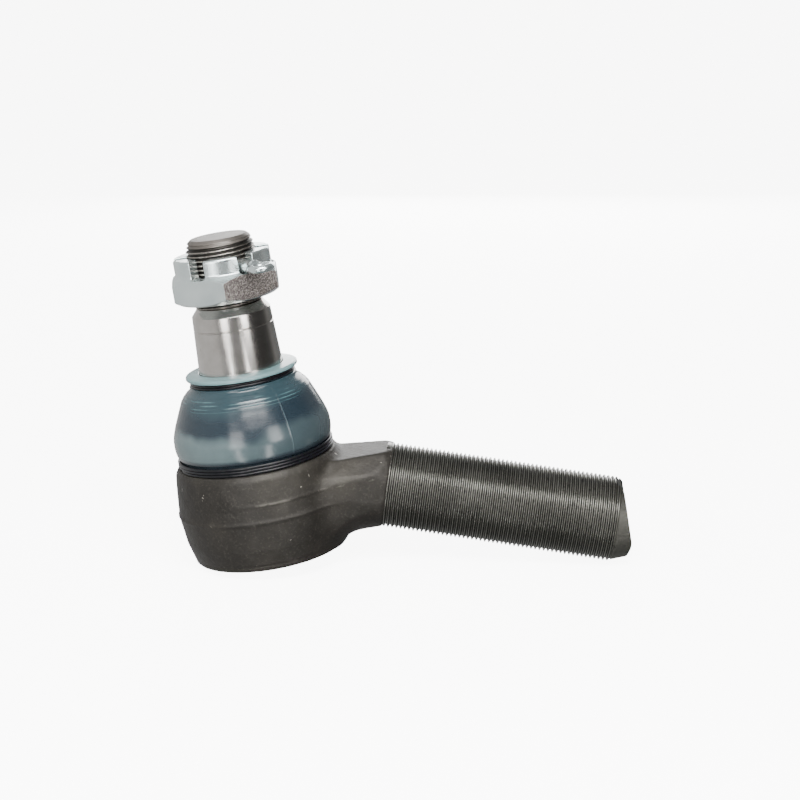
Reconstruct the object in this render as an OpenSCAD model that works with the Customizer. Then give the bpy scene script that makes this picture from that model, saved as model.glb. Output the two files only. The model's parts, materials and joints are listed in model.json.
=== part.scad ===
// Tie rod end, heavy duty, male thread, with ball stud, boot and castle nut.
// Millimetres. Origin at the ball centre, +Z along the stud, the shank leans out towards +X.

/* [Ball stud] */
// Ball diameter
ball_d = 38; // [30:0.5:42]
// Flat under the ball, below its centre
ball_flat = 15; // [10:0.5:18]
// Neck diameter above the ball
neck_d = 22; // [16:0.5:24]
// Height where the neck starts to flare
neck_top = 32; // [28:0.5:36]
// Large diameter of the cone
cone_d = 30; // [26:0.5:34]
// Height of the large end of the cone
cone_z = 40.5; // [38:0.1:44]
// Height of the small end of the cone
cone_top = 65.9; // [58:0.1:72]
// Depth of the gauge line turned round the cone
gauge_depth = 0.25; // [0.1:0.05:0.5]
// Height of the gauge line
gauge_z = 61; // [50:0.5:64]
// Stud thread diameter
stud_d = 24; // [20:1:27]
// Height of the last full thread
stud_thread_top = 88.3; // [80:0.1:95]
// Height of the stud's end face
stud_top = 92.5; // [84:0.1:100]
// Diameter of the end face
stud_tip_d = 19.6; // [16:0.1:22]
// Diameter of the relief between cone and thread
relief_d = 23.2; // [20:0.1:24]

/* [Castle nut] */
// Width across the flats
nut_af = 36; // [32:1:41]
// Height of the underside
nut_z = 71; // [68:0.1:76]
// Height of the hexagon
nut_h = 10; // [8:0.1:14]
// Height of the crown above the hexagon
crown_h = 5.7; // [5:0.1:10]
// Crown diameter
crown_d = 34; // [30:0.5:36]
// Slot width
slot_w = 5.5; // [4:0.1:7]
// Slot depth below the top of the crown
slot_depth = 6.4; // [5:0.1:8]
// Turn of the nut about the stud, degrees
nut_turn = -22.6; // [-60:0.1:60]

/* [Split pin] */
// Shank diameter of the split pin
pin_d = 4.7; // [3:0.1:5]
// Cross hole diameter
pin_hole_d = 5.4; // [4:0.1:6]
// Height of the split pin
pin_z = 82.7; // [80:0.1:88]
// Outer diameter of the eye
eye_d = 9.4; // [7:0.1:12]
// Distance of the centre of the eye from the stud axis
eye_x = 26.8; // [22:0.1:30]
// Length of the legs past the stud axis
leg_x = 26; // [22:0.5:30]

/* [Housing] */
// Height of the top face
top_z = 12.5; // [10:0.1:16]
// Diameter at the top face
top_d = 57.6; // [50:0.1:62]
// Height of the collar under the boot
collar_h = 1; // [0.5:0.1:3]
// Largest diameter, at the forging line
belt_d = 61.8; // [54:0.1:66]
// Height of the forging line
belt_z = -3; // [-8:0.1:0]
// Diameter where the rolled edge starts
rim_d = 54.8; // [48:0.1:60]
// Height where the rolled edge starts
rim_z = -20; // [-24:0.1:-16]
// Height of the underside of the rolled edge
foot_z = -21.6; // [-26:0.1:-18]
// Diameter of the underside of the rolled edge
foot_d = 50.4; // [44:0.1:56]
// Bore for the ball seats
bore_d = 45; // [40:0.1:50]
// Height of the ceiling of the bore
bore_top = 9.5; // [6:0.1:11]
// Diameter of the spigot that holds the boot
spigot_d = 49.6; // [44:0.1:54]
// Height of the top of the spigot
spigot_z = 17; // [14:0.1:20]

/* [Shank] */
// Fall of the shank below the horizontal, degrees
shank_fall = 16.76; // [0:0.1:25]
// Height where the shank axis meets the stud axis
shank_z = 9.95; // [-5:0.05:15]
// Shank thread diameter
shank_d = 30; // [24:1:36]
// Start of the thread along the shank axis
shank_start = 46.8; // [40:0.1:60]
// Thread end along the shank axis
shank_end = 126.4; // [100:0.1:150]
// Full length along the shank axis
shank_tip = 134.1; // [110:0.1:160]
// Diameter of the chamfered end
shank_tip_d = 24.4; // [20:0.1:30]
// Slant of the cropped end, degrees
crop_angle = 17.5; // [0:0.1:25]
// Length on axis of the cropped end
crop_at = 132.2; // [110:0.1:160]

/* [Boot] */
// Wall of the boot
boot_wall = 1.8; // [1:0.1:3]
// Largest boot diameter
boot_d = 55.7; // [50:0.1:60]
// Diameter of the top flange
flange_d = 39.4; // [34:0.1:44]
// Height of the top of the flange
flange_z = 46; // [44:0.1:50]

/* [Clamp rings] */
// Wire of the lower ring
low_wire = 1.1; // [0.8:0.1:2]
// Turns of the lower ring
low_turns = 3; // [1:1:4]
// Wire of the upper ring
up_wire = 0.95; // [0.6:0.05:2]
// Turns of the upper ring
up_turns = 2; // [1:1:3]

/* [Seats and cover] */
// Running gap between ball and seats
ball_gap = 0.05; // [0.01:0.01:0.1]
// Underside of the lower seat
seat_z = -16; // [-18:0.1:-12]
// Cover thickness
cover_t = 2.4; // [1.5:0.1:4]
// Cover diameter
cover_d = 49; // [40:0.1:52]

/* [Hidden] */
$fn = 96;
eps = 0.01;
ball_r = ball_d / 2;
neck_r = neck_d / 2;
cone_r = cone_d / 2;
cone_top_r = cone_r - (cone_top - cone_z) / 20;
stud_r = stud_d / 2;
shank_r = shank_d / 2;
cover_z = foot_z + 1.3;
cover_top = cover_z + cover_t;
boot_seat_z = top_z + collar_h + 0.1;
low_ring_z = top_z + 1.8;
low_ring_r = 27.1;
up_ring_r = 18.15;
up_ring_z = 42.6;
pin_dir = nut_turn - 30;
steel_dark = [0.24, 0.23, 0.22];
steel = [0.62, 0.61, 0.59];
zinc = [0.72, 0.76, 0.76];
boot_blue = [0.30, 0.42, 0.46];
black = [0.06, 0.06, 0.07];
plastic = [0.86, 0.84, 0.78];

// A solid turned about Z from a list of [radius, height] points.
module turned(points) {
    rotate_extrude() polygon(points);
}

// Puts its children on the shank axis, +Z along the shank.
module on_shank() {
    translate([0, 0, shank_z]) rotate([0, 90 + shank_fall, 0]) children();
}

// Section of the forged neck. On each side: a top corner, a trimmed band, a bottom corner.
module neck_section(top_w, top_h, side_w, band_top, band_low, low_w, low_h) {
    polygon([[-top_h, -top_w], [-top_h, top_w], [-band_top, side_w], [-band_low, side_w],
             [low_h, low_w], [low_h, -low_w], [-band_low, -side_w], [-band_top, -side_w]]);
}

// Forged neck between the eye and the shank, flat sided.
module neck() {
    hull() {
        translate([22, 0, belt_z]) rotate([0, 90, 0]) linear_extrude(height = 0.5)
            neck_section(12.5, 13.7, 19.5, 5.5, -0.5, 12.5, 13.8);
        on_shank() translate([0, 0, shank_start - 0.5]) linear_extrude(height = 0.5)
            neck_section(6.2, 13.9, 14.9, 1.0, -5.0, 7.4, 13.2);
        on_shank() translate([0, 0, shank_start - 3.4]) linear_extrude(height = 0.5)
            neck_section(8.6, 13.9, 15.1, 1.0, -5.0, 8.8, 13.2);
    }
}

// Shank as the blank that carries the thread, with the cropped and chamfered end.
module shank() {
    on_shank() difference() {
        union() {
            translate([0, 0, shank_start - 3.4]) cylinder(h = 3.4 + eps, r1 = 14.7, r2 = shank_r);
            translate([0, 0, shank_start]) cylinder(h = shank_end - shank_start, r = shank_r);
            translate([0, 0, shank_end - eps])
                cylinder(h = shank_tip - shank_end, r1 = shank_r, r2 = shank_tip_d / 2);
        }
        translate([0, 0, crop_at]) rotate([0, -crop_angle, 0]) translate([0, 0, 20])
            cube([60, 60, 40], center = true);
    }
}

// Eye of the housing, outside only.
module eye() {
    turned([[0, foot_z], [foot_d / 2, foot_z], [rim_d / 2 - 0.1, rim_z - 0.8],
            [rim_d / 2, rim_z], [29.4, -13], [belt_d / 2 - 0.25, belt_z - 1.2],
            [belt_d / 2, belt_z], [belt_d / 2 - 0.3, belt_z + 1.2], [29.9, 5],
            [top_d / 2 + 0.3, top_z - 0.6], [top_d / 2 - 0.4, top_z],
            [top_d / 2 - 0.5, top_z + collar_h], [spigot_d / 2, top_z + collar_h],
            [spigot_d / 2, spigot_z - 0.6], [spigot_d / 2 - 0.6, spigot_z], [0, spigot_z]]);
}

module housing() {
    color(steel_dark) difference() {
        union() {
            eye();
            neck();
            shank();
        }
        // Bore for the seats, open below.
        translate([0, 0, cover_top]) cylinder(h = bore_top - cover_top, d = bore_d);
        // Groove for the cover seal.
        translate([0, 0, cover_top]) cylinder(h = 1.4, r = bore_d / 2 + 1.0);
        // Recess for the cover.
        translate([0, 0, cover_z]) cylinder(h = cover_t + eps, d = cover_d + 0.1);
        // Opening inside the rolled edge.
        translate([0, 0, foot_z - 1]) cylinder(h = 4, d = cover_d - 4.6);
        // Mouth that the neck of the stud swings in.
        translate([0, 0, bore_top - eps])
            cylinder(h = spigot_z - bore_top + 2 * eps, r1 = 16.7, r2 = 19.2);
    }
}

module ball_stud() {
    color(steel) difference() {
        union() {
            intersection() {
                sphere(r = ball_r);
                translate([0, 0, -ball_flat]) cylinder(h = 2 * ball_r, r = ball_r + 1);
            }
            turned([[0, 5], [neck_r, 5], [neck_r, neck_top], [cone_r - 0.6, cone_z - 2.4],
                    [cone_r, cone_z], [cone_top_r, cone_top], [stud_r, cone_top + 2.1],
                    [relief_d / 2, cone_top + 2.5], [relief_d / 2, cone_top + 3.2],
                    [stud_r, cone_top + 3.6], [stud_r, stud_thread_top],
                    [stud_tip_d / 2 + 1.1, stud_top - 1], [stud_tip_d / 2, stud_top],
                    [0, stud_top]]);
        }
        // Gauge line.
        translate([0, 0, gauge_z]) rotate_extrude()
            translate([cone_r - (gauge_z - cone_z) / 20 + 0.1, 0])
                circle(r = gauge_depth + 0.1, $fn = 24);
        // Cross hole for the split pin.
        translate([0, 0, pin_z]) rotate([0, 90, pin_dir])
            cylinder(h = 40, d = pin_hole_d, center = true, $fn = 48);
    }
}

module upper_seat() {
    color(plastic) difference() {
        translate([0, 0, 0.15]) cylinder(h = bore_top - 0.2, d = bore_d - 0.1);
        sphere(r = ball_r + ball_gap);
        translate([0, 0, 5]) cylinder(h = 10, r = 16.75);
    }
}

module lower_seat() {
    color(plastic) difference() {
        translate([0, 0, seat_z]) cylinder(h = -seat_z - 0.15, d = bore_d - 0.1);
        sphere(r = ball_r + ball_gap);
        translate([0, 0, seat_z - 1]) cylinder(h = 10, r = 12);
        for (a = [0:60:300]) {
            rotate([0, 0, a]) translate([bore_d / 2, 0, seat_z + 4]) cube([1.6, 3, 9], center = true);
        }
    }
}

// Disc spring pressing the lower seat up against the ball.
module seat_spring() {
    color(steel) turned([[13, seat_z - 1.35], [13.2, seat_z - 0.15], [14, seat_z - 0.05],
                         [20.6, cover_top + 1.25], [20.6, cover_top + 0.05],
                         [19.8, cover_top + 0.05]]);
}

// Cover plate with its middle pressed outwards, which leaves room for the ball when it tilts.
module cover() {
    dish_r = 10.4;
    dish_depth = 0.6;
    color(steel_dark) translate([0, 0, cover_z]) difference() {
        union() {
            cylinder(h = cover_t - 0.05, d = cover_d);
            translate([0, 0, -dish_depth])
                cylinder(h = dish_depth + eps, r1 = dish_r - dish_depth, r2 = dish_r);
        }
        translate([0, 0, cover_t - 0.05 - dish_depth])
            cylinder(h = dish_depth + eps, r1 = dish_r - dish_depth, r2 = dish_r);
    }
}

module cover_seal() {
    color(black) translate([0, 0, cover_top + 0.7]) rotate_extrude()
        translate([bore_d / 2 + 0.3, 0]) circle(r = 0.6, $fn = 32);
}

// Boot as one turned wall, from the bead on the housing to the flange on the cone.
module boot() {
    bead_in = spigot_d / 2 + 0.1;
    top_in = cone_r - (42 - cone_z) / 20 + 0.15;
    big = boot_d / 2;
    color(boot_blue) turned([
        [bead_in, boot_seat_z], [26.4, boot_seat_z], [26.4, low_ring_z + 2.8],
        [27.3, low_ring_z + 3.2], [big - 0.3, 19], [big, 21.5], [big - 0.35, 24.5],
        [26.4, 27.9], [25.2, 31.2], [23.9, 34.2], [22.6, 37], [21.2, 38.8],
        [19.4, 40.6], [18.9, 41.2], [18.8, 41.9], [17.5, 42], [17.5, 44.1], [flange_d / 2 - 0.3, 44.1],
        [flange_d / 2, 44.4], [flange_d / 2, 45.2], [flange_d / 2 - 0.4, 45.5],
        [top_in, flange_z], [top_in, 41.6], [17.2, 40.9], [18.6, 39.6],
        [19.8, 38], [21.1, 35.8], [22.3, 33.1], [23.5, 30.2], [24.6, 27.1],
        [big - 0.35 - boot_wall, 24.2], [big - boot_wall, 21.5], [big - 0.4 - boot_wall, 19],
        [bead_in, 17.6]]);
}

module wire_ring(r, z, wire, turns) {
    color(black) for (k = [0:turns - 1]) {
        translate([0, 0, z + k * wire * 0.93]) rotate_extrude()
            translate([r, 0]) circle(d = wire, $fn = 32);
    }
}

module boot_lower_ring() {
    wire_ring(low_ring_r, low_ring_z + 0.05, low_wire, low_turns);
}

module boot_upper_ring() {
    wire_ring(up_ring_r, up_ring_z, up_wire, up_turns);
}

// Castle nut: chamfered hexagon, crown with six slots over the middle of the flats.
module castle_nut() {
    corner_r = nut_af / 2 / cos(30);
    slot_floor = nut_h + crown_h - slot_depth;
    color(zinc) translate([0, 0, nut_z]) rotate([0, 0, nut_turn]) difference() {
        union() {
            intersection() {
                cylinder(h = nut_h, r = corner_r, $fn = 6);
                turned([[0, 0], [nut_af / 2 - 0.9, 0], [corner_r + 0.3, 2.1],
                        [corner_r + 0.3, nut_h - 2.1], [nut_af / 2 - 0.9, nut_h], [0, nut_h]]);
            }
            turned([[0, 1], [crown_d / 2, 1], [crown_d / 2, nut_h + crown_h - 1],
                    [crown_d / 2 - 1, nut_h + crown_h], [0, nut_h + crown_h]]);
        }
        translate([0, 0, -1]) cylinder(h = 40, r = stud_r + 0.05);
        translate([0, 0, -0.5]) cylinder(h = 1.5, r1 = stud_r + 1.5, r2 = stud_r);
        for (k = [0:2]) {
            rotate([0, 0, 30 + 60 * k]) translate([-30, -slot_w / 2, slot_floor])
                cube([60, slot_w, 20]);
        }
    }
}

// Split pin as supplied: closed legs straight through the stud, eye lying flat.
module split_pin() {
    eye_wire = 2.3;
    color(zinc) translate([0, 0, pin_z]) rotate([0, 0, pin_dir]) {
        difference() {
            translate([-leg_x, 0, 0]) rotate([0, 90, 0])
                cylinder(h = leg_x + eye_x - eye_d / 2 + 0.4, d = pin_d, $fn = 48);
            // Gap between the two legs.
            translate([-leg_x - 1, -0.15, -5]) cube([leg_x + 16, 0.3, 10]);
            // One leg is shorter than the other.
            translate([-leg_x - 1, 0, -5]) cube([3.5, 5, 10]);
        }
        translate([eye_x, 0, 0]) rotate_extrude()
            translate([(eye_d - eye_wire) / 2, 0]) circle(d = eye_wire, $fn = 32);
    }
}

housing();
ball_stud();
upper_seat();
lower_seat();
seat_spring();
cover();
cover_seal();
boot();
boot_lower_ring();
boot_upper_ring();
castle_nut();
split_pin();
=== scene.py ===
import bmesh
import bpy
import json
import math
import numpy as np
import openvdb as vdb
from mathutils import Matrix, Vector


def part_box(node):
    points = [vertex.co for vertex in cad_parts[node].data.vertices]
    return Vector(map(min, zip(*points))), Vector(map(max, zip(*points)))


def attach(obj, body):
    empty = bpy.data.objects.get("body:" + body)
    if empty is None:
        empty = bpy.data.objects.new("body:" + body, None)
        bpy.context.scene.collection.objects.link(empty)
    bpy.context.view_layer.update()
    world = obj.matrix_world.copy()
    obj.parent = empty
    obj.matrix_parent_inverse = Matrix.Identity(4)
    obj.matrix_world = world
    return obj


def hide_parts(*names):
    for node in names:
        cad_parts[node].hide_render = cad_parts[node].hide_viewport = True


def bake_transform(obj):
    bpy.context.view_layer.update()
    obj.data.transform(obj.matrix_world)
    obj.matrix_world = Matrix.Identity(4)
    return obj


# The frame, in metres. Sizes below are in millimetres and named; MM turns them into metres.
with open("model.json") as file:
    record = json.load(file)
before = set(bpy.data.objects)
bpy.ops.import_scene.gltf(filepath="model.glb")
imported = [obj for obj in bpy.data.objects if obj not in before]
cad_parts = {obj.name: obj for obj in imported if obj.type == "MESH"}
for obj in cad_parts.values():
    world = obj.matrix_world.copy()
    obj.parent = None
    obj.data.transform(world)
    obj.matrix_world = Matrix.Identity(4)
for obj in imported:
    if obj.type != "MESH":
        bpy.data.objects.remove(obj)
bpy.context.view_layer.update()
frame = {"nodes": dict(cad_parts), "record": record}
MM = 0.001
TAU = 2 * math.pi


def lo(node, axis):
    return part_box(node)[0][axis] / MM


def hi(node, axis):
    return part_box(node)[1][axis] / MM


# ---------------------------------------------------------------- sizes
SHANK_MOUNT = next(m for m in frame["record"]["mounts"] if m["name"] == "shank_thread")
FALL = math.atan2(-SHANK_MOUNT["axis"][2], SHANK_MOUNT["axis"][0])
SHANK_Z = SHANK_MOUNT["pos_m"][2] / MM + SHANK_MOUNT["pos_m"][0] / MM * math.tan(FALL)
SHANK_R = 15.0
SHANK_START = 46.8
SHANK_THREAD_END = 126.4
SHANK_TIP = 134.05
SHANK_TIP_R = 12.2
CHAMFER = (SHANK_R - SHANK_TIP_R) / 7.7
CHAMFER_R = SHANK_R - 0.12
CROP_AT = 132.2
CROP = math.radians(17.5)
FOOT_Z = -21.6
CREASE_Z = -19.1
COVER_Z = lo("cover", 2)
COVER_T = 2.4
TOP_Z = 12.5
COLLAR_Z = 13.5
SPIGOT_Z = 17.0
BELT_Z = -3.0
RIDGE_Z = 3.2
BALL_R = 19
CONE_R, CONE_Z = 15.0, 40.5
CONE_TOP = 65.9
GAUGE_Z = 61
STUD_THREAD_R = 11.95
STUD_THREAD_START = 68.6
STUD_THREAD_END = 90.5
STUD_TOP = hi("ball_stud", 2)
STUD_BOTTOM = lo("ball_stud", 2)
NUT_Z = lo("castle_nut", 2)
NUT_TOP = hi("castle_nut", 2)
NUT_TURN = math.radians(-22.6)
PIN_TURN = NUT_TURN - math.radians(30)
PIN_Z = (lo("split_pin", 2) + hi("split_pin", 2)) / 2
HALF_FLATS = 17.95
SLOT_DEPTH = 6.4
PITCH = 1.5
# Shares of half a pitch: the flat crest, and the flank below it.
CREST, FLANK = 0.16, 0.62
SEAM = math.radians(308)


# ---------------------------------------------------------------- mesh helpers
def make(name, verts, faces, angle=None):
    """A smooth mesh object from vertices in millimetres. Folds of more than angle degrees stay sharp."""
    me = bpy.data.meshes.new(name)
    me.from_pydata([tuple(v) for v in (np.asarray(verts, float) * MM)], [], [tuple(f) for f in faces])
    bm = bmesh.new()
    bm.from_mesh(me)
    bmesh.ops.remove_doubles(bm, verts=bm.verts, dist=2e-6)
    bmesh.ops.dissolve_degenerate(bm, edges=bm.edges, dist=1e-6)
    bmesh.ops.recalc_face_normals(bm, faces=bm.faces)
    bm.to_mesh(me)
    bm.free()
    ob = bpy.data.objects.new(name, me)
    bpy.context.scene.collection.objects.link(ob)
    me.shade_smooth()
    if angle:
        me.set_sharp_from_angle(angle=math.radians(angle))
    return ob


def fillet(points):
    """Rounds the corners of a profile. Each point is (r, z) or (r, z, radius)."""
    almost_straight = math.radians(88.5)
    out = []
    n = len(points)
    for i, p in enumerate(points):
        r = p[2] if len(p) > 2 else 0
        here = np.array(p[:2], float)
        if r <= 0 or i in (0, n - 1):
            out.append(here)
            continue
        a = np.array(points[i - 1][:2], float) - here
        b = np.array(points[i + 1][:2], float) - here
        la, lb = np.linalg.norm(a), np.linalg.norm(b)
        a, b = a / la, b / lb
        half = math.acos(max(-1, min(1, float(a @ b)))) / 2
        if half > almost_straight:
            out.append(here)
            continue
        cut = min(r / math.tan(half), la * 0.49, lb * 0.49)
        r = cut * math.tan(half)
        mid = (a + b) / np.linalg.norm(a + b)
        centre = here + mid * r / math.sin(half)
        s, e = here + a * cut - centre, here + b * cut - centre
        t0, t1 = math.atan2(s[1], s[0]), math.atan2(e[1], e[0])
        d = (t1 - t0 + math.pi) % TAU - math.pi
        count = max(2, int(abs(d) / math.radians(12)) + 1)
        for k in range(count + 1):
            t = t0 + d * k / count
            out.append(centre + r * np.array([math.cos(t), math.sin(t)]))
    return np.array(out)


def turned(name, profile, cols, angle=None, closed=False, wobble=None):
    """A surface turned about Z from (r, z) points. wobble(z, turn) is added to the radius."""
    p = np.asarray(profile, float)
    th = np.arange(cols) * TAU / cols
    r = np.maximum(p[:, 0], 0)[:, None] * np.ones(cols)
    if wobble is not None:
        r = r + wobble(p[:, 1][:, None], th[None]) * (p[:, 0] > 0.01)[:, None]
    x, y = r * np.cos(th), r * np.sin(th)
    z = p[:, 1][:, None] * np.ones(cols)
    verts = np.stack([x, y, z], -1).reshape(-1, 3)
    faces = []
    rows = len(p)
    for i in range(rows if closed else rows - 1):
        a, b = i * cols, ((i + 1) % rows) * cols
        for j in range(cols):
            k = (j + 1) % cols
            faces.append((a + j, a + k, b + k, b + j))
    return make(name, verts, faces, angle)


def join(name, *obs):
    """One object from several."""
    bm = bmesh.new()
    for o in obs:
        me = o.data.copy()
        me.transform(o.matrix_world)
        bm.from_mesh(me)
        bpy.data.meshes.remove(me)
    me = bpy.data.meshes.new(name)
    bm.to_mesh(me)
    bm.free()
    for o in obs:
        bpy.data.objects.remove(o)
    ob = bpy.data.objects.new(name, me)
    bpy.context.scene.collection.objects.link(ob)
    return ob


def thread_radius(phase, crest, depth):
    """Radius of a 60 degree thread at a phase from 0 to 1 along one pitch."""
    t = abs((phase % 1.0) * 2 - 1)
    return crest - depth * min(1.0, max(0.0, (t - CREST) / FLANK))


def helix_rod(name, z0, z1, crest, depth, cap0, cap1, limit, cols, per=10):
    """A threaded rod along Z whose rows follow the helix. limit(z, r) gives the radius to use there."""
    rows0, rows1 = int(z0 / PITCH * per) - per - 1, int(z1 / PITCH * per) + 2
    th = np.arange(cols) * TAU / cols
    verts, faces = [], []
    for j in range(rows0, rows1 + 1):
        z = PITCH * j / per + PITCH * th / TAU
        base = thread_radius(j / per, crest, depth)
        for a, zz in zip(th, z):
            if zz <= z0:
                r, zz = cap0, z0
            elif zz >= z1:
                r, zz = cap1, z1
            else:
                r = limit(zz, base)
            verts.append((r * math.cos(a), r * math.sin(a), zz))
    count = rows1 - rows0 + 1
    for j in range(count - 1):
        for i in range(cols):
            if i < cols - 1:
                faces.append((j * cols + i, j * cols + i + 1, (j + 1) * cols + i + 1, (j + 1) * cols + i))
            elif j + 1 + per < count:
                faces.append((j * cols + i, (j + per) * cols, (j + per + 1) * cols, (j + 1) * cols + i))
    return make(name, verts, faces)


def cap(ob):
    """Closes every open loop of a mesh with one face."""
    bm = bmesh.new()
    bm.from_mesh(ob.data)
    edges = [e for e in bm.edges if e.is_boundary]
    bmesh.ops.holes_fill(bm, edges=edges, sides=0)
    bmesh.ops.recalc_face_normals(bm, faces=bm.faces)
    bm.to_mesh(ob.data)
    bm.free()


# ---------------------------------------------------------------- solid fields
class Field:
    """A block of space sampled on a grid, for shapes that blend into each other."""

    def __init__(self, low, high, step):
        self.low, self.step = np.array(low, float), step
        n = np.ceil((np.array(high) - self.low) / step).astype(int) + 1
        ax = [self.low[i] + step * np.arange(n[i]) for i in range(3)]
        self.x, self.y, self.z = np.meshgrid(*ax, indexing="ij", sparse=True)
        self.shape = tuple(n)

    def mesh(self, name, d):
        grid = vdb.FloatGrid(3.0)
        grid.copyFromArray(np.ascontiguousarray(d.astype(np.float32)))
        verts, quads = grid.convertToQuads(isovalue=0.0)
        for _ in range(3):
            v, g = sample(d, verts)
            verts = verts - g * (v / np.maximum((g * g).sum(1), 1e-6))[:, None]
        return make(name, verts * self.step + self.low, quads)


def sample(d, v):
    """Value and gradient of a grid at points given in cells."""
    v = np.clip(v, 0, np.array(d.shape) - 1.001)
    i = v.astype(int)
    f = v - i
    c = {}
    for a in (0, 1):
        for b in (0, 1):
            for e in (0, 1):
                c[a, b, e] = d[i[:, 0] + a, i[:, 1] + b, i[:, 2] + e]
    fx, fy, fz = f.T

    def mix(p, q, t):
        return p * (1 - t) + q * t

    val = mix(mix(mix(c[0, 0, 0], c[1, 0, 0], fx), mix(c[0, 1, 0], c[1, 1, 0], fx), fy),
              mix(mix(c[0, 0, 1], c[1, 0, 1], fx), mix(c[0, 1, 1], c[1, 1, 1], fx), fy), fz)
    gx = mix(mix(c[1, 0, 0] - c[0, 0, 0], c[1, 1, 0] - c[0, 1, 0], fy),
             mix(c[1, 0, 1] - c[0, 0, 1], c[1, 1, 1] - c[0, 1, 1], fy), fz)
    gy = mix(mix(c[0, 1, 0] - c[0, 0, 0], c[1, 1, 0] - c[1, 0, 0], fx),
             mix(c[0, 1, 1] - c[0, 0, 1], c[1, 1, 1] - c[1, 0, 1], fx), fz)
    gz = mix(mix(c[0, 0, 1] - c[0, 0, 0], c[1, 0, 1] - c[1, 0, 0], fx),
             mix(c[0, 1, 1] - c[0, 1, 0], c[1, 1, 1] - c[1, 1, 0], fx), fy)
    return val, np.stack([gx, gy, gz], 1)


def profile_field(r, z, points):
    """Signed distance to a closed (r, z) outline, negative inside."""
    best = np.full(np.broadcast(r, z).shape, 1e9)
    inside = np.zeros(best.shape, bool)
    n = len(points)
    for i in range(n):
        (ax, ay), (bx, by) = points[i], points[(i + 1) % n]
        ex, ey = bx - ax, by - ay
        wx, wy = r - ax, z - ay
        t = np.clip((wx * ex + wy * ey) / (ex * ex + ey * ey), 0, 1)
        best = np.minimum(best, (wx - ex * t) ** 2 + (wy - ey * t) ** 2)
        if ey != 0:
            inside ^= ((ay > z) != (by > z)) & (r < ex * (z - ay) / ey + ax)
    return np.where(inside, -1, 1) * np.sqrt(best)


def hull_planes(points):
    """Outward planes (normal, offset) of the convex hull of a few points."""
    p = np.array(points, float)
    planes = []
    n = len(p)
    for i in range(n):
        for j in range(i + 1, n):
            for k in range(j + 1, n):
                m = np.cross(p[j] - p[i], p[k] - p[i])
                size = np.linalg.norm(m)
                if size < 1e-6:
                    continue
                m = m / size
                side = (p - p[i]) @ m
                if side.max() > 1e-6 and side.min() < -1e-6:
                    continue
                if side.max() > 1e-6:
                    m = -m
                off = m @ p[i]
                if not any(abs(m @ q[0] - 1) < 1e-6 and abs(off - q[1]) < 1e-6 for q in planes):
                    planes.append((m, off))
    return planes


def smooth_min(a, b, k):
    h = np.clip(0.5 + 0.5 * (b - a) / k, 0, 1)
    return b * (1 - h) + a * h - k * h * (1 - h)


def smooth_max(a, b, k):
    return -smooth_min(-a, -b, k)


def soften(d, rounds):
    """Rounds every edge of a field by averaging it with its neighbours."""
    for _ in range(rounds):
        for axis in range(3):
            e = np.concatenate([d.take([0], axis), d, d.take([-1], axis)], axis)
            n = d.shape[axis]
            i = np.arange(n)
            d = 0.25 * e.take(i, axis) + 0.5 * e.take(i + 1, axis) + 0.25 * e.take(i + 2, axis)
    return d


def on_shank(s, across, up):
    """A point from its place along, across and above the shank axis."""
    return (s * math.cos(FALL) + up * math.sin(FALL), across,
            SHANK_Z - s * math.sin(FALL) + up * math.cos(FALL))


def mirrored(half):
    """A closed ring of (across, up) points from its half on one side."""
    return half + [(-a, b) for a, b in half]


# ---------------------------------------------------------------- forging
def smoothstep(v, low, high):
    t = np.clip((v - low) / (high - low), 0, 1)
    return t * t * (3 - 2 * t)


def neck_field(f):
    """The forged neck: flat faces between a ring inside the eye and a ring at the thread."""
    near = [(23.0, y, z) for y, z in mirrored(
        [(12.5, 10.7), (18.0, 6.4), (18.8, RIDGE_Z), (17.4, -8), (12.0, -16.0)])]
    back = [(10.0, y, z) for y, z in mirrored([(16, 10.7), (22.0, RIDGE_Z), (14.0, -16.0)])]
    root = [on_shank(SHANK_START, y, z)
            for y, z in mirrored([(7.8, 14.6), (14.3, 8.4), (15.1, -3.2), (14.0, -9.0), (8.6, -13.7)])]
    neck = None
    for m, off in hull_planes(near + back + root):
        g = m[0] * f.x + m[1] * f.y + m[2] * f.z - off
        neck = g if neck is None else np.maximum(neck, g)
    return neck


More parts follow.
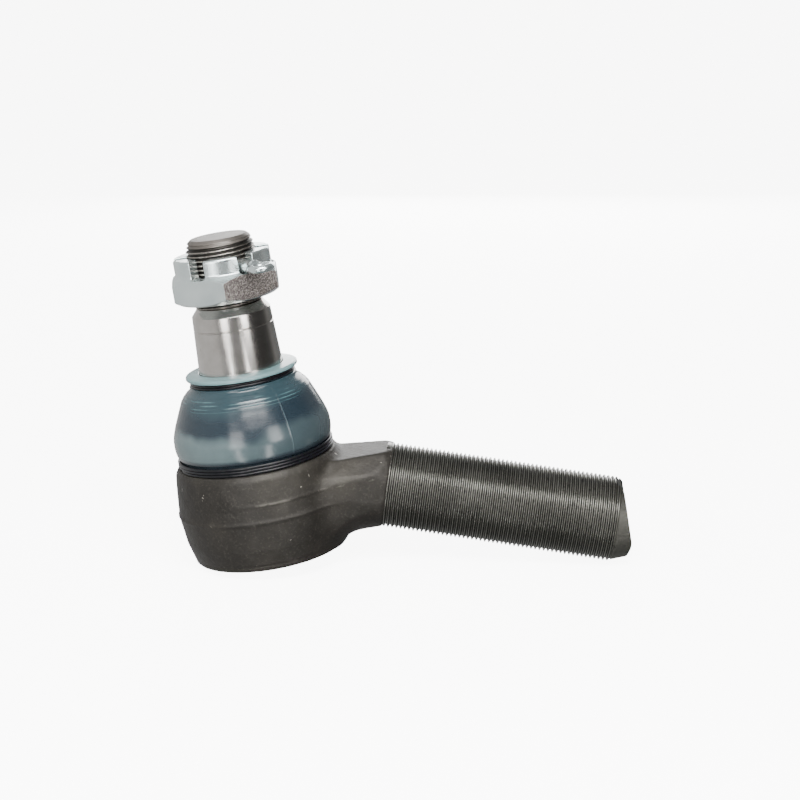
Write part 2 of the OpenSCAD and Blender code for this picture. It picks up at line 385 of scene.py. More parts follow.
def forging():
    step = 0.33
    f = Field((-32.5, -32.5, -24), (50, 32.5, 18.5), step)
    r = np.sqrt(f.x ** 2 + f.y ** 2)
    along = f.x * math.cos(FALL) - (f.z - SHANK_Z) * math.sin(FALL)
    above = f.x * math.sin(FALL) + (f.z - SHANK_Z) * math.cos(FALL)
    from_axis = np.sqrt(f.y ** 2 + above ** 2)
    outline = [(0, FOOT_Z), (25.1, FOOT_Z), (27.25, -20.7), (27.4, -20.0), (29.35, -13.0), (30.4, -4.2),
               (30.5, BELT_Z), (30.35, -1.8), (29.85, 5.0), (29.05, TOP_Z - 0.6), (28.35, TOP_Z),
               (28.25, COLLAR_Z), (0, COLLAR_Z)]
    eye = profile_field(r, f.z + 0 * r, outline)
    # The root of the neck is turned down to the thread by a short cone.
    neck = np.maximum(neck_field(f), (from_axis - SHANK_R + 0.34 * (along - SHANK_START)) * 0.947)
    neck = np.maximum(neck, along - SHANK_START)
    below = smoothstep(-f.z, 1, 13)
    d = smooth_min(eye, neck, 2.2 + 4.0 * below)
    d = np.maximum(d, f.z - COLLAR_Z + 0 * r)
    d = soften(d, 4)
    # The trimmed flash line runs round the eye, and a finer edge runs from the neck round the front.
    near = np.clip(1 - np.abs(d) / 2, 0, 1)
    d = d - 0.32 * np.exp(-((f.z - BELT_Z) / 0.6) ** 2) * near * (1 - smoothstep(f.x, 24, 32))
    span = smoothstep(f.x, -9, 6) * (1 - smoothstep(f.x, 22, 28))
    d = d - 0.26 * np.exp(-((f.z - RIDGE_Z) / 0.5) ** 2) * near * span
    # The rolled edge is parted from the eye by a faint crease.
    d = d + 0.16 * np.exp(-((f.z - CREASE_Z) / 0.4) ** 2) * near * (r > 22)
    # Slight waviness of a hammered surface.
    d = d + 0.07 * np.sin(f.x * 0.61 + 1.3) * np.sin(f.y * 0.53 + 0.4) * np.sin(f.z * 0.67 + 2.1)
    d = d + 0.035 * np.sin(f.x * 1.9 + f.z) * np.sin(f.y * 1.7 + 0.9) * np.sin(f.z * 2.1 + 0.3 * f.x)
    spigot = profile_field(r, f.z + 0 * r, [(0, TOP_Z - 2), (24.7, TOP_Z - 2), (24.7, SPIGOT_Z - 0.6),
                                            (24.1, SPIGOT_Z), (0, SPIGOT_Z)])
    d = np.minimum(d, spigot)
    cavity = profile_field(r, f.z + 0 * r, [
        (0, -30), (22.3, -30), (22.3, COVER_Z), (24.5, COVER_Z), (24.5, COVER_Z + COVER_T),
        (22.5, COVER_Z + COVER_T), (22.5, 9.5), (16.7, 9.5), (19.2, SPIGOT_Z + 0.1), (19.2, 30), (0, 30)])
    d = smooth_max(d, -cavity, 0.5)
    return f.mesh("forging", d)


def shank():
    def limit(z, base):
        into = min(1.0, max(0.0, (z - SHANK_START + 1.2) / 2.0))
        r = 14.75 - (14.75 - base) * into
        over = z - SHANK_THREAD_END
        if over > 0:
            plain = CHAMFER_R - over * CHAMFER
            r = plain if over > 1.6 else min(r, plain)
        return r

    ob = helix_rod("shank_rod", SHANK_START - 2.4, SHANK_TIP, SHANK_R - 0.06, 0.9, 14.2,
                   CHAMFER_R - (SHANK_TIP - SHANK_THREAD_END) * CHAMFER, limit,
                   cols=192)
    bm = bmesh.new()
    bm.from_mesh(ob.data)
    # Local +Z runs along the shank and local -X is up. Each cut is (tilt, place along, place below the
    # axis): two round the upper corner, the crop, its blunt edge, the nose below it and its lower corner.
    for tilt, at, below in ((CROP + 0.75, 127.3, -13.2), (CROP + 0.35, 128.5, -11.8), (CROP, CROP_AT, 0.0),
                            (0.1, 133.62, 5.3), (-0.124, 133.85, 5.0), (-0.75, 132.6, 12.0)):
        bmesh.ops.bisect_plane(bm, geom=bm.verts[:] + bm.edges[:] + bm.faces[:], dist=1e-7,
                               plane_co=Vector((below * MM, 0, at * MM)),
                               plane_no=Vector((-math.sin(tilt), 0, math.cos(tilt))), clear_outer=True)
        rim = [e for e in bm.edges if e.is_boundary and e.verts[0].co.z > SHANK_START * MM]
        bmesh.ops.holes_fill(bm, edges=rim, sides=0)
    smooth_from = (SHANK_THREAD_END + 0.4) * MM
    for e in bm.edges:
        if min(v.co.z for v in e.verts) > smooth_from and len(e.link_faces) == 2:
            e.smooth = e.calc_face_angle() < math.radians(9)
    for face in bm.faces:
        face.smooth = len(face.verts) < 7
    bm.to_mesh(ob.data)
    bm.free()
    cap(ob)
    ob.data.transform(Matrix.Translation((0, 0, SHANK_Z * MM)) @ Matrix.Rotation(math.pi / 2 + FALL, 4, "Y"))
    return ob


# ---------------------------------------------------------------- ball stud
def cone_at(z):
    """Radius of the 1:10 cone at a height."""
    return CONE_R - (z - CONE_Z) / 20


def stud():
    ball_from, ball_to, count = -52, 54.6, 40
    root_r, end_r = 11.3, 10.95
    ball = [(0, STUD_BOTTOM), (11.2, STUD_BOTTOM)]
    for k in range(count + 1):
        t = math.radians(ball_from + k * (ball_to - ball_from) / count)
        ball.append((BALL_R * math.cos(t), BALL_R * math.sin(t)))
    groove = cone_at(GAUGE_Z) - 0.22
    body = [(11, 16.2, 2.0), (11, 32, 4.0), (14.4, 38.1, 2.0), (CONE_R, CONE_Z, 1.0),
            (cone_at(60.65), 60.65), (groove, 60.85), (groove, 61.15), (cone_at(61.35), 61.35),
            (cone_at(CONE_TOP), CONE_TOP, 0.25), (12.1, 67.9, 0.5), (11.7, STUD_THREAD_START, 0.4),
            (root_r, 68.9), (0, 68.9)]
    lower = turned("stud_lower", ball + list(fillet(body)), 200, angle=28)
    taper_from, fade_to = 88.3, 91.4

    def limit(z, base):
        r = min(base, root_r + (z - STUD_THREAD_START) * 1.1)
        if z > taper_from:
            left = STUD_THREAD_R - base
            r = 12 - (z - taper_from) * 0.33 - left * min(0.8, max(0, fade_to - z))
        return r

    z1 = STUD_TOP - 1.1
    upper = helix_rod("stud_thread", STUD_THREAD_START, z1, STUD_THREAD_R, 0.88, root_r, end_r, limit,
                      cols=168)
    end = turned("stud_end", fillet([(end_r, z1), (10.85, STUD_TOP - 0.95, 0.4), (9.8, STUD_TOP - 0.08, 0.5),
                                     (7, STUD_TOP - 0.02), (0, STUD_TOP - 0.12)]), 168, angle=40)
    return lower, join("stud_thread", upper, end)


# ---------------------------------------------------------------- nut and split pin
def castle_nut():
    step = 0.17
    hex_top = 10.0
    crown_r = 16.95
    top = NUT_TOP - NUT_Z
    slot_floor = top - SLOT_DEPTH
    f = Field((-21.6, -21.6, -0.7), (21.6, 21.6, top + 0.7), step)
    r = np.sqrt(f.x ** 2 + f.y ** 2)
    d = None
    for k in range(6):
        a = NUT_TURN + math.radians(30 + 60 * k)
        g = math.cos(a) * f.x + math.sin(a) * f.y - HALF_FLATS
        d = g if d is None else smooth_max(d, g, 0.35)
    tilt = math.radians(31)
    cone = (r - 17.0) * math.sin(tilt) + (f.z - hex_top) * math.cos(tilt)
    under = (r - 16.9) * math.sin(tilt) - f.z * math.cos(tilt)
    d = smooth_max(d + 0 * f.z, cone, 0.2)
    d = smooth_max(d, under, 0.2)
    d = smooth_max(d, -f.z + 0 * r, 0.2)
    crown = smooth_max(r - crown_r, f.z - top + 0 * r, 0.9)
    crown = smooth_max(crown, 1 - f.z + 0 * r, 0.2)
    d = smooth_min(d, crown, 0.5)
    for k in range(3):
        a = NUT_TURN + math.radians(30 + 60 * k)
        across = np.abs(-math.sin(a) * f.x + math.cos(a) * f.y) - 2.75
        slot = smooth_max(across, slot_floor - f.z + 0 * r, 1.2)
        d = smooth_max(d, -slot, 0.35)
    d = smooth_max(d, 12.1 - r + 0 * f.z, 0.15)
    d = smooth_max(d, (12.9 - r) * 0.7 - f.z * 0.7, 0.2)
    ob = f.mesh("nut_body", d)
    ob.data.transform(Matrix.Translation((0, 0, NUT_Z * MM)))
    return ob


def split_pin():
    step = 0.13
    eye_x, eye_r, eye_wire_r = 26.8, 3.4, 1.25
    rod_r, rod_end = 2.3, 22.5
    leg_end = 26.0
    slit_end, half_slit = 16.5, 0.14
    f = Field((-27, -6, -3), (32.5, 6, 3), step)
    r = np.sqrt(f.y ** 2 + f.z ** 2)
    rod = smooth_max(r - rod_r + 0 * f.x, f.x - rod_end + 0 * r, 0.6)
    rod = smooth_max(rod, -leg_end - f.x + 0 * r, 0.6)
    slit = np.maximum(np.abs(f.y) - half_slit + 0 * f.z, f.x - slit_end)
    rod = smooth_max(rod, -slit, 0.25)
    # One leg is shorter than the other.
    rod = smooth_max(rod, -np.maximum(-f.y + 0 * f.z, f.x + leg_end - 2.4), 0.3)
    ring = np.sqrt((np.sqrt((f.x - eye_x) ** 2 + f.y ** 2) - eye_r) ** 2 + f.z ** 2) - eye_wire_r
    d = smooth_min(rod, ring, 1.8)
    ob = f.mesh("pin_body", d)
    ob.data.transform(Matrix.Translation((0, 0, PIN_Z * MM)) @ Matrix.Rotation(PIN_TURN, 4, "Z"))
    return ob


# ---------------------------------------------------------------- boot and rings
def curve_through(points, per):
    """Smooth (r, z) curve through points."""
    p = np.array([points[0]] + list(points) + [points[-1]], float)
    out = []
    for i in range(1, len(p) - 2):
        for k in range(per):
            t = k / per
            a, b, c, e = p[i - 1], p[i], p[i + 1], p[i + 2]
            out.append(0.5 * (2 * b + (c - a) * t + (2 * a - 5 * b + 4 * c - e) * t * t
                              + (3 * b - a - 3 * c + e) * t ** 3))
    out.append(p[-2])
    return out


def boot():
    z0 = lo("boot", 2)
    bead = fillet([(25.0, z0 + 0.05), (26.45, z0 + 0.05, 0.3), (26.45, z0 + 3.4, 0.3),
                   (27.0, z0 + 3.8, 0.3)])
    wall = curve_through([(27.15, 17.7), (27.6, 19.2), (27.82, 21.5), (27.6, 24.5), (26.5, 28.0),
                          (25.2, 31.2), (23.9, 34.2), (22.6, 37.0), (21.1, 38.9), (19.5, 40.3),
                          (18.95, 41.0), (18.85, 41.75)], 12)
    # Fine ribs under the upper ring.
    rib_from, rib_to, rib_pitch = 36.5, 40.5, 1.3
    for p in wall:
        if rib_from < p[1] < rib_to:
            p[0] += 0.08 * max(0, math.sin((p[1] - rib_from) * TAU / rib_pitch))
    flange = fillet([(18.7, 41.95, 0.1), (17.6, 42.05, 0.3), (17.6, 44.0, 0.3), (19.3, 44.12, 0.2),
                     (19.68, 44.4, 0.3), (19.68, 45.25, 0.3), (19.2, 45.6, 0.3), (16.4, 45.85, 0.4),
                     (14.88, 45.98, 0.2), (15.05, 41.6, 0.5), (17.2, 40.9, 0.5)])
    inner = curve_through([(18.4, 39.8), (19.8, 38), (21.1, 35.8), (22.3, 33.1), (23.5, 30.2), (24.6, 27.1),
                           (25.6, 24.2), (26.0, 21.5), (25.6, 19.0), (25.2, 17.6)], 8)
    pts = list(bead) + wall + list(flange) + inner + [np.array([25.0, 17.2])]

    def seam(z, th):
        across = ((th - SEAM + math.pi) % TAU - math.pi) * 26
        return 0.09 * np.exp(-(across / 0.28) ** 2) * (z > 18) * (z < 40.5)

    return turned("boot_skin", pts, 720, angle=60, closed=True, wobble=seam)


def coil(name, radius, z0, wire, turns, start, tuck):
    """A wire ring of several touching turns whose ends are tucked in."""
    per_turn = 110
    total = int(turns * per_turn)
    sides = 12
    verts, faces = [], []
    for i in range(total + 1):
        t = i / per_turn
        a = start + t * TAU
        end = min(i, total - i) / 8
        rr = radius - tuck * max(0, 1 - end) ** 2
        z = z0 + (t - turns / 2) * wire * 0.96
        w = wire / 2 * (0.55 + 0.45 * min(1, min(i, total - i) / 2))
        for k in range(sides):
            b = k * TAU / sides
            q = rr + w * math.cos(b)
            verts.append((q * math.cos(a), q * math.sin(a), z + w * math.sin(b)))
    for i in range(total):
        for k in range(sides):
            m = (k + 1) % sides
            faces.append((i * sides + k, i * sides + m, (i + 1) * sides + m, (i + 1) * sides + k))
    faces.append(tuple(range(sides))[::-1])
    faces.append(tuple(total * sides + k for k in range(sides)))
    return make(name, verts, faces)


# ---------------------------------------------------------------- materials
def material(name):
    m = bpy.data.materials.new(name)
    m.use_nodes = True
    return m, m.node_tree, m.node_tree.nodes["Principled BSDF"]


def node(nt, kind, values=None, **props):
    """A shader node with its properties and socket values set."""
    n = nt.nodes.new(kind)
    for k, v in props.items():
        setattr(n, k, v)
    for k, v in (values or {}).items():
        n.inputs[k].default_value = v
    return n


def noise(nt, coord, scale, detail=4.0, rough=0.55, stretch=None):
    out = coord
    if stretch:
        mp = node(nt, "ShaderNodeMapping", {"Scale": stretch})
        nt.links.new(coord, mp.inputs["Vector"])
        out = mp.outputs["Vector"]
    n = node(nt, "ShaderNodeTexNoise", {"Scale": scale, "Detail": detail, "Roughness": rough})
    nt.links.new(out, n.inputs["Vector"])
    return n.outputs["Fac"]


def ramp(nt, fac, stops):
    n = node(nt, "ShaderNodeValToRGB")
    el = n.color_ramp.elements
    while len(el) < len(stops):
        el.new(0.5)
    for e, (p, c) in zip(el, stops):
        e.position = p
        e.color = (*c, 1)
    nt.links.new(fac, n.inputs["Fac"])
    return n.outputs["Color"]


def scale_range(nt, fac, low, high):
    n = node(nt, "ShaderNodeMapRange", {"To Min": low, "To Max": high})
    nt.links.new(fac, n.inputs["Value"])
    return n.outputs["Result"]


def mix_colour(nt, fac, a, b):
    n = node(nt, "ShaderNodeMix", data_type="RGBA")
    for sock, v in ((n.inputs[0], fac), (n.inputs[6], a), (n.inputs[7], b)):
        if hasattr(v, "links"):
            nt.links.new(v, sock)
        else:
            sock.default_value = v if isinstance(v, float) else (*v, 1)
    return n.outputs[2]


def bump(nt, bsdf, relief, strength, distance, base=None):
    n = node(nt, "ShaderNodeBump", {"Strength": strength, "Distance": distance})
    nt.links.new(relief, n.inputs["Height"])
    if base is not None:
        nt.links.new(base, n.inputs["Normal"])
    nt.links.new(n.outputs["Normal"], bsdf.inputs["Normal"])
    return n.outputs["Normal"]


def coords(nt):
    return node(nt, "ShaderNodeTexCoord").outputs["Object"]


def dot(nt, coord, direction):
    n = node(nt, "ShaderNodeVectorMath", {1: direction}, operation="DOT_PRODUCT")
    nt.links.new(coord, n.inputs[0])
    return n.outputs["Value"]


def rise(nt, value, low, high):
    """0 below low, 1 above high, smooth between."""
    n = node(nt, "ShaderNodeMapRange", {"From Min": low, "From Max": high}, interpolation_type="SMOOTHSTEP")
    nt.links.new(value, n.inputs["Value"])
    return n.outputs["Result"]


def maths(nt, kind, a, b=0.0):
    n = node(nt, "ShaderNodeMath", operation=kind)
    for sock, v in ((n.inputs[0], a), (n.inputs[1], b)):
        if hasattr(v, "links"):
            nt.links.new(v, sock)
        else:
            sock.default_value = v
    return n.outputs[0]


def times(nt, a, b):
    return maths(nt, "MULTIPLY", a, b)


def fall(nt, value, low, high):
    """1 below low, 0 above high, smooth between."""
    return maths(nt, "SUBTRACT", 1.0, rise(nt, value, low, high))


def height(nt, coord):
    n = node(nt, "ShaderNodeSeparateXYZ")
    nt.links.new(coord, n.inputs["Vector"])
    return n.outputs["Z"]


def forged_material():
    """Scaled forging under a film of oil, with small bright nicks and a patchy painted highlight along the
    raised edge.
    """
    m, nt, b = material("forged_steel")
    c = coords(nt)
    big = noise(nt, c, 45, 5)
    fine = noise(nt, c, 1100, 6, 0.65)
    col = ramp(nt, big, [(0.30, (0.014, 0.0125, 0.0105)), (0.52, (0.024, 0.0215, 0.0180)),
                         (0.74, (0.040, 0.036, 0.029))])
    speck = rise(nt, fine, 0.50, 0.72)
    col = mix_colour(nt, times(nt, speck, 0.35), col, (0.080, 0.074, 0.062))
    nicks_and_ridge_highlight = times(nt, rise(nt, noise(nt, c, 420, 2, 0.4, (1, 1, 0.5)), 0.725, 0.75),
                 rise(nt, noise(nt, c, 1300, 3), 0.45, 0.6))
    # Painted highlight: the raised edge from the neck round the eye is lightened in patches.
    off_edge = maths(nt, "ABSOLUTE", maths(nt, "SUBTRACT", height(nt, c), RIDGE_Z * MM))
    ridge_highlight = times(nt, fall(nt, off_edge, 0.0001, 0.0006), rise(nt, noise(nt, c, 190, 4), 0.50, 0.62))
    ridge_highlight = times(nt, ridge_highlight, rise(nt, dot(nt, c, (1, 0, 0)), -0.006, 0.006))
    # The real nicks and the painted highlight share one mask for colour and gloss.
    nicks_and_ridge_highlight = maths(nt, "MAXIMUM", nicks_and_ridge_highlight, times(nt, ridge_highlight, 0.25))
    col = mix_colour(nt, times(nt, nicks_and_ridge_highlight, 0.7), col, (0.32, 0.30, 0.26))
    nt.links.new(col, b.inputs["Base Color"])
    b.inputs["Metallic"].default_value = 0.55
    nt.links.new(maths(nt, "SUBTRACT", scale_range(nt, fine, 0.40, 0.66), times(nt, nicks_and_ridge_highlight, 0.2)),
                 b.inputs["Roughness"])
    n1 = bump(nt, b, fine, 0.45, 0.0002)
    bump(nt, b, noise(nt, c, 240, 4), 0.4, 0.0005, n1)
    return m


def off_axis(nt, coord, point, direction):
    """Distance from an axis."""
    sub = node(nt, "ShaderNodeVectorMath", {1: point}, operation="SUBTRACT")
    nt.links.new(coord, sub.inputs[0])
    cross = node(nt, "ShaderNodeVectorMath", {1: direction}, operation="CROSS_PRODUCT")
    nt.links.new(sub.outputs["Vector"], cross.inputs[0])
    size = node(nt, "ShaderNodeVectorMath", operation="LENGTH")
    nt.links.new(cross.outputs["Vector"], size.inputs[0])
    return size.outputs["Value"]


def thread_material(name, tint, dark, axis=None, pits=0.5, root_unshade=0.0):
    """Rolled thread: fine grain, oily patches, a few dark pits and painted shade in the grooves.

    axis is (point, direction, crest radius, end of the thread), and the last argument says how much of the
    painted shade is lifted off the root bottoms.
    """
    m, nt, b = material(name)
    c = coords(nt)
    fine = noise(nt, c, 1200, 4)
    patch = noise(nt, c, 55, 4)
    col = ramp(nt, patch, [(0.3, dark), (0.7, tint)])
    col = mix_colour(nt, times(nt, rise(nt, fine, 0.45, 0.75), 0.3), col, (0.20, 0.19, 0.17))
    rough = scale_range(nt, fine, 0.17, 0.34)
    if axis:
        # Painted shade darkens the flanks and roots below the crest, so the crests stay bright; some of it
        # can be lifted off the root bottoms. The end face is duller.
        point, way, crest, end = axis
        out = off_axis(nt, c, point, way)
        flank = fall(nt, out, crest - 0.00045, crest - 0.00020)
        root = fall(nt, out, crest - 0.00086, crest - 0.00074)
        painted_groove_shade = times(nt, flank, maths(nt, "SUBTRACT", 1.0, times(nt, root, root_unshade)))
        past = rise(nt, dot(nt, c, way), end - 0.0006, end + 0.0002)
        painted_groove_shade = times(nt, painted_groove_shade, maths(nt, "SUBTRACT", 1.0, past))
        col = mix_colour(nt, times(nt, painted_groove_shade, 0.9), col, (0.008, 0.008, 0.006))
        col = mix_colour(nt, times(nt, past, 0.6), col, dark)
        rough = maths(nt, "ADD", rough, times(nt, maths(nt, "ADD", painted_groove_shade, past), 0.2))
    pit = rise(nt, noise(nt, c, 430, 2, 0.4), 0.685, 0.71)
    col = mix_colour(nt, times(nt, pit, pits), col, (0.008, 0.007, 0.006))
    nt.links.new(col, b.inputs["Base Color"])
    b.inputs["Metallic"].default_value = 0.85
    nt.links.new(rough, b.inputs["Roughness"])
    bump(nt, b, fine, 0.25, 0.0001)
    return m


def ground_material():
    """Ground cone with fine turning lines."""
    m, nt, b = material("ground_steel")
    c = coords(nt)
    lines = noise(nt, c, 260, 3, 0.6, (0.6, 0.6, 26))
    spots = noise(nt, c, 120, 4)
    col = ramp(nt, spots, [(0.3, (0.44, 0.415, 0.385)), (0.7, (0.56, 0.535, 0.505))])
    stain = rise(nt, noise(nt, c, 300, 3), 0.66, 0.75)
    col = mix_colour(nt, times(nt, stain, 0.6), col, (0.20, 0.18, 0.155))
    nt.links.new(col, b.inputs["Base Color"])
    b.inputs["Metallic"].default_value = 1.0
    nt.links.new(scale_range(nt, lines, 0.13, 0.25), b.inputs["Roughness"])
    bump(nt, b, lines, 0.10, 0.00006)
    return m


def zinc_material():
    """Pale zinc plate. One flat of the hexagon is as forged: rough, brown and stippled."""
    m, nt, b = material("zinc_steel")
    c = coords(nt)
    n = noise(nt, c, 70, 2)
    col = ramp(nt, n, [(0.3, (0.56, 0.63, 0.63)), (0.7, (0.70, 0.76, 0.75))])
    out = dot(nt, c, (math.cos(PIN_TURN), math.sin(PIN_TURN), 0))
    flat = times(nt, rise(nt, out, 0.01778, 0.01788), fall(nt, height(nt, c), 0.0803, 0.0806))
    grain = noise(nt, c, 2400, 3, 0.6)
    rough_col = ramp(nt, grain, [(0.38, (0.034, 0.028, 0.025)), (0.52, (0.115, 0.100, 0.092)),
                                 (0.64, (0.34, 0.31, 0.29))])
    nt.links.new(mix_colour(nt, flat, col, rough_col), b.inputs["Base Color"])
    nt.links.new(scale_range(nt, flat, 0.92, 0.45), b.inputs["Metallic"])
    nt.links.new(maths(nt, "ADD", scale_range(nt, n, 0.17, 0.30), times(nt, flat, 0.3)),
                 b.inputs["Roughness"])
    n1 = bump(nt, b, noise(nt, c, 1400, 3), 0.05, 0.00003)
    bump(nt, b, times(nt, grain, flat), 0.8, 0.0004, n1)
    return m


def boot_material():
    """Translucent blue polyurethane, darker higher up and paler lower down, with painted light on the lower
    left side.
    """
    m, nt, b = material("boot_rubber")
    c = node(nt, "ShaderNodeAttribute", attribute_name="rest_at").outputs["Vector"]
    z_here = height(nt, c)
    wave = times(nt, maths(nt, "SUBTRACT", noise(nt, c, 55, 2, 0.4), 0.5), 0.014)
    z_wavy = maths(nt, "ADD", z_here, wave)
    low = fall(nt, z_wavy, 0.0245, 0.0290)
    neck = times(nt, rise(nt, z_wavy, 0.033, 0.040), 0.55)
    col = mix_colour(nt, neck, (0.010, 0.019, 0.028), (0.034, 0.072, 0.083))
    # Painted light: the lower part is paler on the side towards the pale left of the room, as if lit through
    # the wall.
    side = rise(nt, dot(nt, c, (-0.95, -0.31, 0)), -0.022, 0.026)
    paler_low_with_painted_light = times(nt, low, scale_range(nt, side, 0.42, 0.78))
    col = mix_colour(nt, paler_low_with_painted_light, col, (0.078, 0.108, 0.112))
    side = times(nt, low, maths(nt, "POWER", side, 2.0))
    col = mix_colour(nt, times(nt, side, 0.5), col, (0.18, 0.245, 0.25))
    # Fine turned lines under the upper ring, the mould seam, painted shade on the fold over the lower ring,
    # and the flange, pale partly as thin rubber and partly as painted light.
    lines = rise(nt, maths(nt, "SINE", times(nt, z_here, TAU / 0.0011)), 0.3, 0.9)
    lined = times(nt, rise(nt, z_here, 0.0352, 0.0360), fall(nt, z_here, 0.0392, 0.0396))
    lines = times(nt, lines, lined)
    patchy = rise(nt, noise(nt, c, 70, 3, 0.5, (1, 1, 3)), 0.45, 0.6)
    lines = times(nt, lines, patchy)
    col = mix_colour(nt, times(nt, lines, 0.55), col, (0.13, 0.26, 0.27))
    off_seam = maths(nt, "ABSOLUTE", dot(nt, c, (math.sin(SEAM), -math.cos(SEAM), 0)))
    seam_side = rise(nt, dot(nt, c, (math.cos(SEAM), math.sin(SEAM), 0)), 0.0, 0.001)
    on_seam = times(nt, fall(nt, off_seam, 0.00006, 0.00022), seam_side)
    on_seam = times(nt, on_seam, fall(nt, z_here, 0.034, 0.037))
    col = mix_colour(nt, times(nt, on_seam, 0.4), col, (0.14, 0.20, 0.21))
    # Painted shade: the boot just above the lower ring is darkened almost to black.
    painted_fold_shade = fall(nt, z_here, 0.0178, 0.0196)
    col = mix_colour(nt, times(nt, painted_fold_shade, 0.9), col, (0.006, 0.009, 0.015))
    # The upper flange is paler, partly as thin translucent rubber and partly as painted light on its lit
    # top.
    col = mix_colour(nt, rise(nt, z_here, 0.0438, 0.0442), col, (0.20, 0.335, 0.345))
    cloud = noise(nt, c, 120, 4)
    col = mix_colour(nt, scale_range(nt, cloud, 0.0, 0.45), col, (0.022, 0.036, 0.044))
    nt.links.new(col, b.inputs["Base Color"])
    nt.links.new(scale_range(nt, cloud, 0.14, 0.26), b.inputs["Roughness"])
    b.inputs["IOR"].default_value = 1.48
    b.inputs["Transmission Weight"].default_value = 0.15
    bump(nt, b, noise(nt, c, 180, 3), 0.06, 0.0003)
    return m


def wire_material():
    """Black lacquered wire."""
    m, nt, b = material("black_wire")
    n = noise(nt, coords(nt), 500, 3)
    nt.links.new(ramp(nt, n, [(0.3, (0.0025, 0.003, 0.004)), (0.7, (0.006, 0.0065, 0.008))]),
                 b.inputs["Base Color"])
    nt.links.new(scale_range(nt, n, 0.24, 0.38), b.inputs["Roughness"])
    b.inputs["Specular IOR Level"].default_value = 0.32
    return m


def plastic_material(name, dark, light, rough):
    """Moulded plastic or rubber between two colours."""
    m, nt, b = material(name)
    n = noise(nt, coords(nt), 240, 3)
    nt.links.new(ramp(nt, n, [(0.3, dark), (0.7, light)]), b.inputs["Base Color"])
    nt.links.new(scale_range(nt, n, rough, rough + 0.12), b.inputs["Roughness"])
    return m


# ---------------------------------------------------------------- assembly
def dress(ob, mat, body, slot_name, *nodes):
    """Gives a piece its material and its body and hides the CAD nodes that it replaces. slot_name is not
    used.
    """
    ob.data.materials.clear()
    ob.data.materials.append(mat)
    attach(ob, body)
    if nodes:
        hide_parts(*nodes)


forged = forged_material()
ground = ground_material()
zinc = zinc_material()
wire = wire_material()
SHANK_WAY = (math.cos(FALL), 0, -math.sin(FALL))
# The thread's end measured from the origin along the shank, a little past the last full turn.
THREAD_END = (SHANK_THREAD_END + 0.8 - SHANK_Z * math.sin(FALL)) * MM
shank_steel = thread_material("shank_steel", (0.142, 0.140, 0.124), (0.080, 0.079, 0.069),
                              ((0, 0, SHANK_Z * MM), SHANK_WAY, SHANK_R * MM, THREAD_END), root_unshade=0.8)
stud_steel = thread_material("stud_steel", (0.33, 0.305, 0.275), (0.12, 0.108, 0.096),
                             ((0, 0, 0), (0, 0, 1), 12 * MM, STUD_THREAD_END * MM), pits=0.2)

dress(forging(), forged, "housing_body", "forged_steel", "housing")
dress(shank(), shank_steel, "housing_body", "forged_steel")
lower, upper = stud()
dress(lower, ground, "stud_body", "ground_steel", "ball_stud")
dress(upper, stud_steel, "stud_body", "ground_steel")
dress(castle_nut(), zinc, "stud_body", "zinc_steel", "castle_nut")
dress(split_pin(), zinc, "stud_body", "zinc_steel", "split_pin")

skin = boot()
# The real boot bends with the stud; here its colours follow each point's place at rest, which is stored on
# the mesh.
rest_at = skin.data.attributes.new("rest_at", "FLOAT_VECTOR", "POINT")
rest_at.data.foreach_set("vector", np.array([v.co for v in skin.data.vertices], np.float32).ravel())
skin.data.materials.append(boot_material())
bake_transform(skin)
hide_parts("boot")
low_mid = (lo("boot_lower_ring", 2) + hi("boot_lower_ring", 2)) / 2
up_mid = (lo("boot_upper_ring", 2) + hi("boot_upper_ring", 2)) / 2
dress(coil("wire_lower", 27.1, low_mid, 1.08, 2.85, math.radians(200), 0.5), wire,
      "housing_body", "black_wire", "boot_lower_ring")
dress(coil("wire_upper", 18.15, up_mid, 0.92, 1.9, math.radians(100), 0.3), wire,
      "collar_body", "black_wire", "boot_upper_ring")

seat_mat = plastic_material("seat_plastic", (0.62, 0.59, 0.50), (0.70, 0.67, 0.58), 0.4)
seal_mat = plastic_material("seal_rubber", (0.012, 0.012, 0.013), (0.025, 0.025, 0.026), 0.5)
spring_mat = thread_material("spring_steel", (0.34, 0.33, 0.31), (0.18, 0.17, 0.16))
for name, mat in (("upper_seat", seat_mat), ("lower_seat", seat_mat), ("cover_seal", seal_mat),
                  ("seat_spring", spring_mat), ("cover", forged)):
    ob = frame["nodes"][name]
    ob.data.materials.clear()
    ob.data.materials.append(mat)


# ---------------------------------------------------------------- floor, light and camera
# The part lies on the lower edge of its rim and on the tip of the shank, so the floor slopes in this frame.
rim_point = Vector((-25.0, 0, FOOT_Z)) * MM
tip_point = Vector(on_shank(SHANK_THREAD_END + 0.4, 0, -SHANK_R)) * MM
slope = math.atan2(tip_point.z - rim_point.z, tip_point.x - rim_point.x)
down = Matrix.Rotation(-slope, 4, "Y")


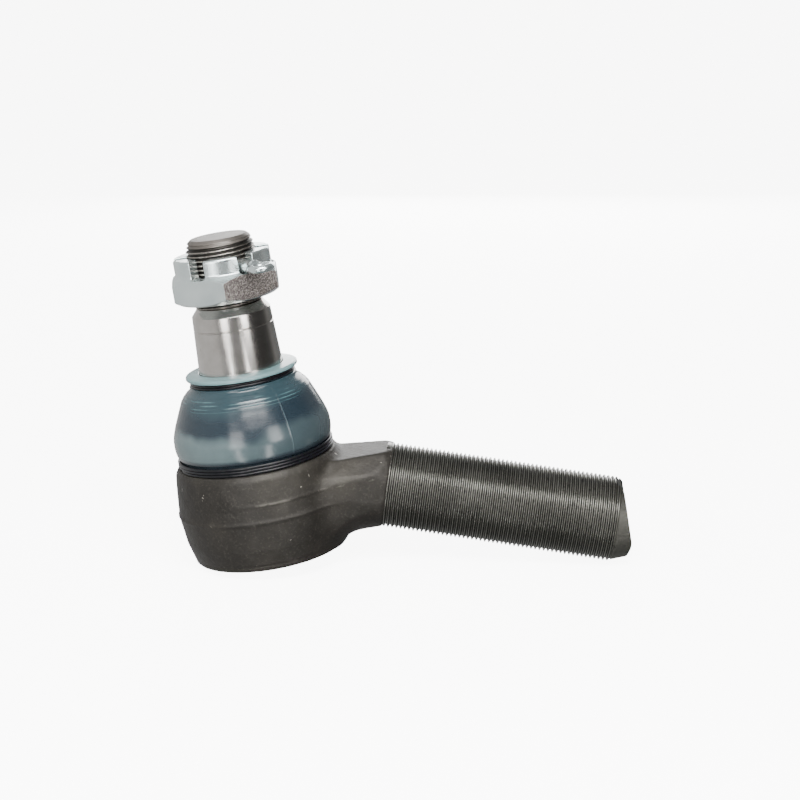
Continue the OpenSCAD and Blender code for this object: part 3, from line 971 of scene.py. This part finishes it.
def backdrop():
    """A pale floor that curves up into a round wall. Sizes here are in metres."""
    middle, gap = 0.07, 0.0002
    flat_r, curve_r, wall_top, count = 1.5, 1.2, 3.0, 24
    points = [(0, 0), (0.5, 0)]
    for k in range(count + 1):
        t = math.pi / 2 * k / count
        points.append((flat_r + curve_r * math.sin(t), curve_r - curve_r * math.cos(t)))
    points.append((flat_r + curve_r, wall_top))
    ob = turned("floor", np.array(points) / MM, 96)
    ob.matrix_world = Matrix.Translation(rim_point + Vector((middle, 0, -gap))
                                         + Vector((0, 0, middle * math.tan(slope)))) @ down
    m, nt, b = material("floor_white")
    n = noise(nt, coords(nt), 3, 2)
    nt.links.new(ramp(nt, n, [(0.3, (0.88, 0.88, 0.88)), (0.7, (0.9, 0.9, 0.9))]), b.inputs["Base Color"])
    b.inputs["Roughness"].default_value = 0.9
    b.inputs["Emission Color"].default_value = (1, 1, 0.995, 1)
    b.inputs["Emission Strength"].default_value = 8.0
    # Clear when seen from behind, so that the underside of the part can be looked at.
    geo = node(nt, "ShaderNodeNewGeometry")
    clear = node(nt, "ShaderNodeBsdfTransparent")
    mix = node(nt, "ShaderNodeMixShader")
    nt.links.new(geo.outputs["Backfacing"], mix.inputs[0])
    nt.links.new(b.outputs[0], mix.inputs[1])
    nt.links.new(clear.outputs[0], mix.inputs[2])
    nt.links.new(mix.outputs[0], nt.nodes["Material Output"].inputs["Surface"])
    if ob.data.polygons[0].normal.z < 0:
        ob.data.flip_normals()
    ob.data.materials.append(m)
    # It lights nothing and reflects in nothing, so that the metal shows only the lamps.
    ob.visible_glossy = False
    ob.visible_diffuse = False
    ob.visible_shadow = False


backdrop()


CENTRE = Vector((0.03, 0, 0.03))
FRONT = math.radians(-79.75)


def around(turn_deg, height_deg, distance=0.9):
    """A point round the part, in degrees to the right of the camera and degrees above the level."""
    a, e = math.radians(turn_deg) + FRONT, math.radians(height_deg)
    return Vector((math.cos(a) * math.cos(e), math.sin(a) * math.cos(e), math.sin(e))) * distance + CENTRE


def area(name, where, width, power, tall, up=(0, 0, 1)):
    """A soft light that faces the part. Its tall side follows up."""
    data = bpy.data.lights.new(name, "AREA")
    data.energy = power
    data.shape = "RECTANGLE"
    data.size, data.size_y = width, tall
    ob = bpy.data.objects.new(name, data)
    z = (where - CENTRE).normalized()
    x = Vector(up).cross(z).normalized()
    ob.matrix_world = Matrix.Translation(where) @ Matrix((x, z.cross(x), z)).transposed().to_4x4()
    bpy.context.scene.collection.objects.link(ob)


# The room is pale on the left and beyond the part, and dark to the right of the camera.
world = bpy.data.worlds.new("studio")
bpy.context.scene.world = world
world.use_nodes = True
wt = world.node_tree
sky = node(wt, "ShaderNodeTexCoord").outputs["Generated"]
dark_way = FRONT + math.radians(60)
facing = dot(wt, sky, (math.cos(dark_way), math.sin(dark_way), 0))
band = node(wt, "ShaderNodeMapRange", {"From Min": -1.0, "From Max": 1.0})
wt.links.new(facing, band.inputs["Value"])
tone = ramp(wt, band.outputs["Result"], [
    (0.0, (0.88, 0.88, 0.88)), (0.28, (0.84, 0.84, 0.84)), (0.42, (0.30, 0.305, 0.31)),
    (0.54, (0.20, 0.208, 0.215)), (0.76, (0.28, 0.28, 0.28)), (0.87, (0.09, 0.09, 0.09)),
    (1.0, (0.05, 0.05, 0.05))])
wt.links.new(tone, wt.nodes["Background"].inputs["Color"])
wt.nodes["Background"].inputs["Strength"].default_value = 1.0
area("key", around(7, 46, 0.8), 0.50, 13, 0.26)
area("top", around(-10, 84), 0.6, 1.3, 0.5, up=(0, 1, 0))
area("strip_left", around(-27, -26), 0.07, 1.9, 0.62)
area("strip_right", around(17, -26), 0.11, 2.6, 0.62)
area("box_left", around(-27, 13), 0.30, 4.2, 0.50)
area("box_right", around(31, 12), 0.28, 4.2, 0.46)
area("back", around(165, 12), 0.6, 5, 0.4)

cam_data = bpy.data.cameras.new("camera")
cam = bpy.data.objects.new("camera", cam_data)
bpy.context.scene.collection.objects.link(cam)
bpy.context.scene.camera = cam
cam_data.sensor_width = 36.0
cam_data.lens = 86.5
CAM_AT = (0.1176, -0.6502, 0.1815)
CAM_AZ, CAM_EL, CAM_ROLL = math.radians(5.639), math.radians(13.367), math.radians(-8.965)
forward = Vector((-math.sin(CAM_AZ) * math.cos(CAM_EL), math.cos(CAM_AZ) * math.cos(CAM_EL),
                  -math.sin(CAM_EL)))
level = Vector((math.cos(CAM_AZ), math.sin(CAM_AZ), 0))
upright = level.cross(forward)
cam_x = level * math.cos(CAM_ROLL) + upright * math.sin(CAM_ROLL)
cam_y = upright * math.cos(CAM_ROLL) - level * math.sin(CAM_ROLL)
cam.matrix_world = Matrix.Translation(CAM_AT) @ Matrix((cam_x, cam_y, -forward)).transposed().to_4x4()
cam_data.clip_start = 0.01
